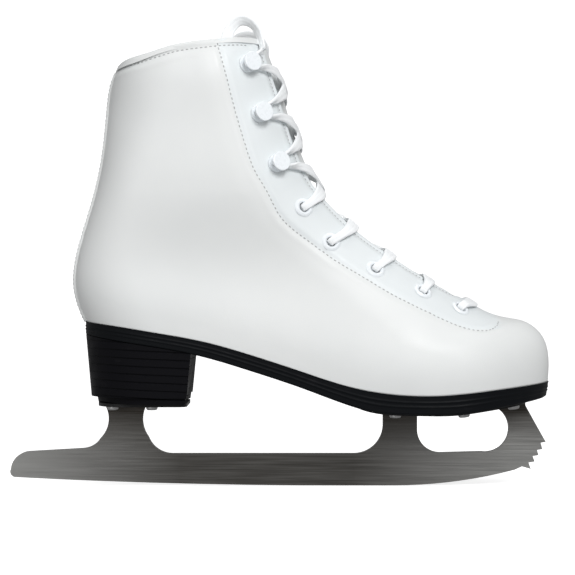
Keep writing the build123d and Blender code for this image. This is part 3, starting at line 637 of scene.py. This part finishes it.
def shell(side, rows=250, columns=120):
    """One side of the boot's outer surface, as a grid from the facing's edge to the back seam and from
    the sole up to the collar, with its outward normals. It follows the CAD upper."""
    u, v = np.linspace(0, 1, columns)[None, :], np.linspace(0, 1, rows)[:, None]
    bend = np.clip(1 - u / 0.45, 0, 1) ** 2

    def at(h):
        return skin(math.pi * u + throat_turn(h, side) * bend, h, side)

    def above(curve):
        def test(h):
            point = at(h)
            return point[..., 2] >= curve(point[..., 0])
        return test

    low = search(above(SOLE_TOP), u * 0 - 19, u * 0 + 150)
    high = search(above(COLLAR), u * 0 + 150, u * 0 + 251)
    points = at(low + (high - low) * v)
    normals = unit(np.cross(np.gradient(points, axis=0), np.gradient(points, axis=1)) + 1e-12)
    normals = normals * np.sign((normals[..., 1] * side).sum())
    push, known = np.zeros(points.shape[:2]), np.zeros(points.shape[:2], bool)
    for index in np.ndindex(push.shape):
        point, normal = Vector(points[index]), Vector(normals[index])
        hit, place, _, _ = NODES["upper"].ray_cast((point + normal * 7) * MM, -normal, distance=12 * MM)
        if hit:
            push[index], known[index] = (place / MM - point).dot(normal), True
    return points + normals * blurred(push, known)[..., None], normals


SHELLS = {side: shell(side) for side in (-1, 1)}
for column in (0, -1):
    one, other = (SHELLS[side][0][:, column] for side in (-1, 1))
    joined = np.abs(one[:, 1]) + np.abs(other[:, 1]) < 0.8
    middle = (one + other) / 2 * (1, 0, 1)
    one[joined] = other[joined] = middle[joined]


def shell_mesh(name, depth, material):
    """Both sides of the boot at a depth under the outer surface, joined at the toe and the heel."""
    points = [(SHELLS[side][0] - SHELLS[side][1] * depth(SHELLS[side][0])[..., None]) for side in (-1, 1)]
    rows, columns = points[0].shape[:2]
    for column in (0, -1):
        for grid in points:
            grid[:, column, 1] *= np.abs(SHELLS[1][0][:, column, 1]) > 0.01
    faces = grid_faces(rows, columns) + [f[::-1] for f in grid_faces(rows, columns, start=rows * columns)]
    obj = piece(name, np.concatenate([grid.reshape(-1, 3) for grid in points]), faces, material)
    shape = bmesh.new()
    shape.from_mesh(obj.data)
    bmesh.ops.remove_doubles(shape, verts=shape.verts, dist=0.00002)
    bmesh.ops.recalc_face_normals(shape, faces=shape.faces)
    shape.to_mesh(obj.data)
    shape.free()
    return obj


def upper():
    """The leather, open round each eyelet."""
    obj = shell_mesh("upper_leather", lambda p: p[..., 0] * 0, WHITE_LEATHER)
    centres = [Vector(front(h, sign * y)[0]) * MM for h, y in EYELETS for sign in (-1, 1)]
    shape = bmesh.new()
    shape.from_mesh(obj.data)
    gone = [f for f in shape.faces if any((f.calc_center_median() - c).length < 0.0031 for c in centres)]
    bmesh.ops.delete(shape, geom=gone, context="FACES")
    shape.to_mesh(obj.data)
    shape.free()
    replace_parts(obj, "upper")
    return obj


LINING_DEPTH, LINING_PUFF = 3.75, 4.1  # the lining's inner face, and how far the padding lifts it


def padded_lining():
    """The lining, puffed out by the padding round the ankle."""
    def depth(points):
        x, z = points[..., 0], points[..., 2]
        parts = ((z - 114) / 20, (-36 - x) / 12, (COLLAR(x) - 2.0 - z) / 9)
        puff = np.ones_like(x)
        for part in parts:
            part = np.clip(part, 0, 1)
            puff = puff * part * (2 - part)
        return LINING_DEPTH + LINING_PUFF * puff

    obj = shell_mesh("lining_padded", depth, LINING)
    obj.data.flip_normals()
    thick = obj.modifiers.new("thickness", "SOLIDIFY")
    thick.thickness, thick.offset, thick.use_even_offset = 0.0004, -1, False
    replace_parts(obj, "lining", "ankle_padding")


def on_upper(points):
    """The nearest places on the leather."""
    return np.array([UPPER.closest_point_on_mesh(Vector(p) * MM)[1] / MM for p in points])


def seam_tree():
    lines = np.concatenate([line for _, line in SEAMS])
    tree = kdtree.KDTree(len(lines))
    for index, point in enumerate(lines):
        tree.insert(Vector(point) * MM, index)
    tree.balance()
    return tree


def dress_leather(obj):
    """Sinks the leather along its seams, and marks the facings, which are a little bluer."""
    mesh, tree = obj.data, seam_tree()
    inside = Curve(*[(z, x) for x, z in FACING_SEAM[:15]])
    facing = np.zeros(len(mesh.vertices), np.float32)
    normals = [v.normal.copy() for v in mesh.vertices]
    for vertex, normal in zip(mesh.vertices, normals):
        x, _, z = (c / MM for c in vertex.co)
        distance = tree.find(vertex.co)[2] / MM
        dip = 0.38 * math.exp(-((distance / 1.1) ** 2)) - 0.22 * math.exp(-(((distance - 3.2) / 1.6) ** 2))
        vertex.co -= normal * dip * MM
        if z > 86.5 and x < 118:
            facing[vertex.index] = min(max((x - float(inside(z))) / 1.2 + 0.5, 0), 1)
    mesh.attributes.new("facing", "FLOAT", "POINT").data.foreach_set("value", facing)
    thick = obj.modifiers.new("thickness", "SOLIDIFY")
    thick.thickness, thick.offset, thick.use_even_offset = 0.0017, -1, False


UPPER = upper()
bpy.context.view_layer.update()
SEAMS = []
for sign in (-1, 1):
    SEAMS.append(("facing", on_upper(resample(facing_seam(sign), 0.8))))
    SEAMS.append(("collar", on_upper(resample(collar_seam(sign, 3.5), 0.8))))
    SEAMS.append(("throat", on_upper(resample(throat_seam(sign, 2.4), 0.8))))
dress_leather(UPPER)
padded_lining()


# ---------------------------------------------------------------- stitches
def stitches(name, lines, pitch=2.5, length=1.75, radius=0.26):
    """Rows of single stitches along lines, each with a function that gives the place on the surface
    nearest to a point and the normal there, in millimetres."""
    points, faces, uvs = [], [], []
    turns = [math.tau * m / 6 for m in range(6)]
    for line, outward in lines:
        path = resample(line, 0.4)
        run = np.concatenate([[0], np.cumsum(np.linalg.norm(np.diff(path, axis=0), axis=1))])
        for spot in np.arange(pitch / 2, run[-1] - pitch / 2, pitch):
            here = Vector([np.interp(spot, run, path[:, c]) for c in range(3)])
            ahead = Vector([np.interp(spot + 0.5, run, path[:, c]) for c in range(3)])
            along = (ahead - here).normalized()
            here, up = outward(here)
            over = along.cross(up).normalized()
            start = len(points)
            for k in range(6):
                t = k / 5
                middle = here + along * ((t - 0.5) * length) + up * (0.32 * math.sin(math.pi * t) - 0.22)
                swell = radius * math.sin(math.pi * (0.08 + 0.84 * t)) ** 0.5
                for a in turns:
                    points.append(middle + up * swell * math.sin(a) + over * swell * math.cos(a) * 1.15)
                uvs += [(k * length / 5 * MM, m * 0.0003) for m in range(6)]
            faces += grid_faces(6, 6, closed=True, start=start)
            faces += [tuple(range(start + 5, start - 1, -1)), tuple(range(start + 30, start + 36))]
    piece(name, points, faces, THREAD, uvs=uvs)


def upper_surface(point):
    """The nearest place on the leather, and the normal there."""
    _, place, normal, _ = UPPER.closest_point_on_mesh(point * MM)
    return place / MM, normal


bpy.context.view_layer.update()
for kind, pitch, radius in (("facing", 2.5, 0.26), ("collar", 2.5, 0.26), ("throat", 2.1, 0.2)):
    seams = [(line, upper_surface) for k, line in SEAMS if k == kind]
    stitches(f"{kind}_stitches", seams, pitch, radius=radius)


# ---------------------------------------------------------------- backstrap
STRAP_HALF = 6.5  # half of its width


def backstrap():
    """The narrow raised strip over the back seam, with rounded edges and a row of stitches on each."""
    shares = np.array([-1, -1, -0.97, -0.88, -0.5, -0.25, 0, 0.25, 0.5, 0.88, 0.97, 1, 1])
    lifts = np.array([-0.5, 0.6, 1.1, 1.22, 1.25, 1.27, 1.28, 1.27, 1.25, 1.22, 1.1, 0.6, -0.5])

    def back_height(curve, raised):
        def above(h):
            point = skin(math.pi, h, 1)
            return point[..., 2] >= curve(point[..., 0]) + raised
        return float(search(above, np.array(60.0), np.array(251.0)))

    h = np.linspace(back_height(SOLE_TOP, 0.3), back_height(COLLAR, -2.5), 110)[:, None]
    y = shares[None, :] * STRAP_HALF

    def at(h, y):
        h, y = np.broadcast_arrays(h, y)

        def reached(t):
            return np.abs(skin(math.pi - t, h, y)[..., 1] / np.sign(y + 1e-9)) >= np.abs(y)

        turn = search(reached, h * 0, h * 0 + 1.2)
        x, _, z = (skin(math.pi - turn, h, np.where(y > 0, 1, -1))[..., k] for k in range(3))
        return np.stack([x, y, z], -1)

    normal = unit(np.cross(at(h + 0.5, y) - at(h - 0.5, y), at(h, y + 0.3) - at(h, y - 0.3)))
    normal = normal * np.where(normal[..., :1] < 0, 1, -1)
    rows, columns = normal.shape[:2]
    seat = on_upper(at(h, y).reshape(-1, 3)).reshape(rows, columns, 3)
    seat[..., 1] = y
    points = seat + normal * lifts[None, :, None]
    uvs = [(float(a) * MM, float(b) * MM) for a in h[:, 0] for b in y[0]]
    obj = piece("backstrap_leather", points.reshape(-1, 3), grid_faces(rows, columns), WHITE_LEATHER, uvs=uvs)
    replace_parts(obj, "backstrap")

    def strap_surface(point):
        return point, Vector((-1, point.y / 25, 0)).normalized()

    lines = [(points[1:-1, column], strap_surface) for column in (3, 9)]
    stitches("backstrap_stitches", lines, pitch=2.4, radius=0.22)


backstrap()


# ---------------------------------------------------------------- outsole
def outsole():
    """The unit sole, with two raised lines along its edge and a soft lower corner."""
    count, profile = 160, []
    for t in np.linspace(0, 1, 34):
        rib = 0.34 * math.exp(-(((t - 0.34) / 0.045) ** 2)) + 0.34 * math.exp(-(((t - 0.58) / 0.045) ** 2))
        lip = 0.15 * math.exp(-((t / 0.06) ** 2))
        profile.append((t, -0.15 + rib + lip - 2.4 * max(0, t - 0.93) / 0.07 * 0.4))

    def outline(grow):
        def reach(x, which):
            s, h = tilted(x, SOLE_TOP(x))
            nose, heel = ends(h, -grow)
            return (nose - s, s - heel)[which]
        front = search(lambda x: reach(x, 0) <= 0, 120.0, 165.0)
        back = -search(lambda x: reach(-x, 1) <= 0, 80.0, 125.0)
        turn = math.tau * (np.arange(count) + 0.5) / count
        x = (front + back) / 2 + (front - back) / 2 * np.cos(turn)
        side = np.where(np.sin(turn) >= 0, 1, -1)
        s, h = tilted(x, SOLE_TOP(x))
        return x, side * half_width(s, h, side, -grow)

    x, y = outline(-3.0)
    points, rows = [], [[(a, b, float(SOLE_TOP(a))) for a, b in zip(x, y)]]
    for t, offset in profile:
        x, y = outline(0.5 + offset)
        fade = np.clip((x - 60) / 70, 0, 1)
        taper = 1.3 * t * fade
        x, y = x - taper * np.clip((x - 90) / 55, 0, 1), y * (1 - 0.012 * t)
        rows.append([(a, b, float(SOLE_TOP(a) * (1 - t) + SOLE_BOTTOM(a) * t)) for a, b in zip(x, y)])
    for row in rows:
        points += row
    faces = grid_faces(len(rows), count, closed=True)
    last = (len(rows) - 1) * count
    strips = 8
    inner_rows = []
    for k in range(count // 2):
        a, b = np.array(points[last + k]), np.array(points[last + count - 1 - k])
        line = [last + k]
        for m in range(1, strips):
            line.append(len(points))
            points.append(tuple(a + (b - a) * m / strips))
        line.append(last + count - 1 - k)
        inner_rows.append(line)
    for one, two in zip(inner_rows, inner_rows[1:]):
        faces += [(one[m], two[m], two[m + 1], one[m + 1]) for m in range(strips)]
    obj = piece("outsole_unit", points, faces, SOLE)
    outwards(obj)
    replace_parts(obj, "outsole")


outsole()


# ---------------------------------------------------------------- tongue
TONGUE_FACE, TONGUE_BACK = 5.9, 10.0  # depths of its two faces under the boot's outer surface
TONGUE_BULGE = 3.2  # how far its face swells out between the facings
TONGUE_TOP = 237


def tongue():
    """The padded tongue under the facings."""
    h, share = np.linspace(58, TONGUE_TOP, 90)[:, None], np.linspace(-1, 1, 33)[None, :]
    half = TONGUE_HALF(front(h, 1)[0][..., 0]) - 0.4
    to_top = (TONGUE_TOP - h) / 2.4
    edge = np.clip(np.minimum((1 - np.abs(share)) * half / 2.2, to_top), 0, 1)
    rounded = 2.2 * (1 - np.sqrt(np.clip(1 - (1 - edge) ** 2, 0, 1)))
    y = share * half
    padding = 0.5 * np.cos(share * math.pi / 2)
    slit = np.cos(np.clip(np.abs(y) / 13, 0, 1) * math.pi / 2) ** 2
    bulge = TONGUE_BULGE * slit * np.clip((h - 146) / 14, 0, 1) * np.clip(to_top / 3, 0, 1)
    depths = (TONGUE_FACE + rounded - bulge, TONGUE_BACK - rounded + padding)
    faces_at = [front(h, y, -depth)[0].reshape(-1, 3) for depth in depths]
    rows, columns = y.shape
    uvs = [(float(a) * MM, float(b) * MM) for a, line in zip(h[:, 0], y) for b in line] * 2
    faces = grid_faces(rows, columns) + [f[::-1] for f in grid_faces(rows, columns, start=rows * columns)]
    back = rows * columns
    border = list(range(columns)) + [i * columns + columns - 1 for i in range(1, rows)]
    border += [(rows - 1) * columns + j for j in range(columns - 2, -1, -1)]
    border += [i * columns for i in range(rows - 2, 0, -1)]
    faces += [(a, b, b + back, a + back) for a, b in zip(border, border[1:] + border[:1])]
    obj = piece("tongue_padded", np.concatenate(faces_at), faces, TRIM_LEATHER, body=None, uvs=uvs)
    outwards(obj)
    obj.data.materials.append(LINING)
    for face in obj.data.polygons:
        if min(face.vertices) >= back:
            face.material_index = 1
    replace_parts(obj, "tongue_cover", "tongue_foam", "tongue_lining")
    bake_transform(obj)


tongue()


# ---------------------------------------------------------------- lace
LACE_WIDTH, LACE_THICK = 7.6, 1.5
INSIDE_LIFT, GAP_LIFT, OVER = -4.93, -4.4, 1.5
BUNCHED = (4.2, 2.0)


def path_of(plan, h0, y0, h1, y1):
    """Rows of (height, distance, lift, width, thickness, on edge) along a straight way."""
    flat = (LACE_WIDTH, LACE_THICK)
    return [(h0 + (h1 - h0) * t, y0 + (y1 - y0) * t, lift, *(size or flat), 0) for t, lift, size in plan]


def under_facing(start, stop, side, over):
    plan = [
        (0.06, INSIDE_LIFT, (4.6, 1.6)), (0.16, INSIDE_LIFT, (6.6, 1.2)), (0.3, INSIDE_LIFT + 0.1, None),
        (0.5, GAP_LIFT + over, None), (0.7, INSIDE_LIFT + 0.1, None), (0.84, INSIDE_LIFT, (6.6, 1.2)),
        (0.94, INSIDE_LIFT, (4.6, 1.6)),
    ]
    return path_of(plan, start[0], side * start[1], stop[0], -side * stop[1])


def through_eyelet(h, y, outwards):
    lifts = (INSIDE_LIFT + 0.9, -1.6, 0.9)
    return [(h, y, lift, *BUNCHED, 0) for lift in (lifts if outwards else lifts[::-1])]


def over_facing(start, stop, side, over):
    plan = [
        (0.06, 2.3, (4.6, 2.2)), (0.13, 2.2, (6.4, 1.7)), (0.2, 1.25, None), (0.27, 0.6, None),
        (0.36, -1.8, None), (0.5, GAP_LIFT + over, None), (0.62, INSIDE_LIFT + 0.1, None),
        (0.74, INSIDE_LIFT, None), (0.84, INSIDE_LIFT, (6.6, 1.2)), (0.94, INSIDE_LIFT, (4.6, 1.6)),
    ]
    return path_of(plan, start[0], side * start[1], stop[0], -side * stop[1])


def towards_hook(start, hook_at, side, over, from_eyelet):
    plan = [(0.06, 2.3, (4.6, 2.2)), (0.13, 2.2, (6.4, 1.7))] if from_eyelet else [(0.08, 2.6, (5.2, 1.8))]
    plan += [
        (0.22, 1.3, None), (0.34, 0.0, None), (0.5, -1.3 + over, None), (0.66, 0.0, None),
        (0.8, 1.5, None), (0.92, 2.6, (5.2, 1.8)),
    ]
    return path_of(plan, start[0], side * start[1], hook_at[0] - 4.6, -side * (hook_at[1] - 6.4))


def round_hook(hook_at, side):
    h, y = hook_at
    around = [(-4.6, -6.4, 0.35), (-3.7, -3.6, 0.8), (-2.6, -0.8, 1), (-0.9, 0.9, 1), (0.9, 0.9, 1),
              (2.6, -0.8, 1), (3.7, -3.6, 0.8), (4.6, -6.4, 0.35)]
    return [(h + dh, side * (y + dy), 3.35, 4.1, 1.9, edge) for dh, dy, edge in around]


def lace_half(side, over):
    h, y = EYELETS[0]
    bar = [(0.0, 1.2, None), (0.45, 1.1, None), (0.7, 1.8, (6.4, 1.7)), (0.9, 2.3, (4.6, 2.2))]
    found = path_of(bar, h, 0, h, side * y)
    found += through_eyelet(h, side * y, outwards=False)
    found += under_facing(EYELETS[0], EYELETS[1], side, over)
    side = -side
    found += through_eyelet(EYELETS[1][0], side * EYELETS[1][1], outwards=True)
    for start, stop in zip(EYELETS[1:], EYELETS[2:]):
        over = OVER if over == 0 else 0
        found += over_facing(start, stop, side, over)
        side = -side
        found += through_eyelet(stop[0], side * stop[1], outwards=True)
    start, from_eyelet = EYELETS[-1], True
    for hook_at in HOOKS:
        over = OVER if over == 0 else 0
        found += towards_hook(start, hook_at, side, over, from_eyelet)
        side = -side
        found += round_hook(hook_at, side)
        start, from_eyelet = (hook_at[0] + 4.6, hook_at[1] - 6.4), False
    return found


def laced_stations(rows):
    h, y, lift, width, thick, edge = np.array(rows, float).T
    place, normal = front(h, y, lift)
    up = unit(front(h + 1, y)[0] - front(h - 1, y)[0])
    across = up * (1 - edge)[:, None] + normal * edge[:, None]
    return np.column_stack([place, across, width, thick])


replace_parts(ribbon("lace_woven", laced_stations(lace_half(-1, 0)[::-1] + lace_half(1, OVER)[1:])), "lace")


# ---------------------------------------------------------------- stage
def backdrop():
    """A pale floor that curves up behind the object."""
    bend = [(0.9 + 0.7 * math.sin(a), 0.7 - 0.7 * math.cos(a)) for a in np.linspace(0.15, 1.57, 10)]
    points = []
    for y, z in [(-2.5, 0), (0.9, 0), *bend, (1.6, 3)]:
        points += [(-3000, y * 1000, z * 1000 - 0.3), (3000, y * 1000, z * 1000 - 0.3)]
    made = Surface("stage_paper", (0.86, 0.86, 0.86), 0.9, specular=0.1)
    made.shader.inputs["Emission Color"].default_value = (1, 1, 1, 1)
    made.shader.inputs["Emission Strength"].default_value = 0.75
    obj = piece("backdrop", points, grid_faces(len(points) // 2, 2), made.mat, body=None)
    obj.visible_diffuse = obj.visible_glossy = False


backdrop()
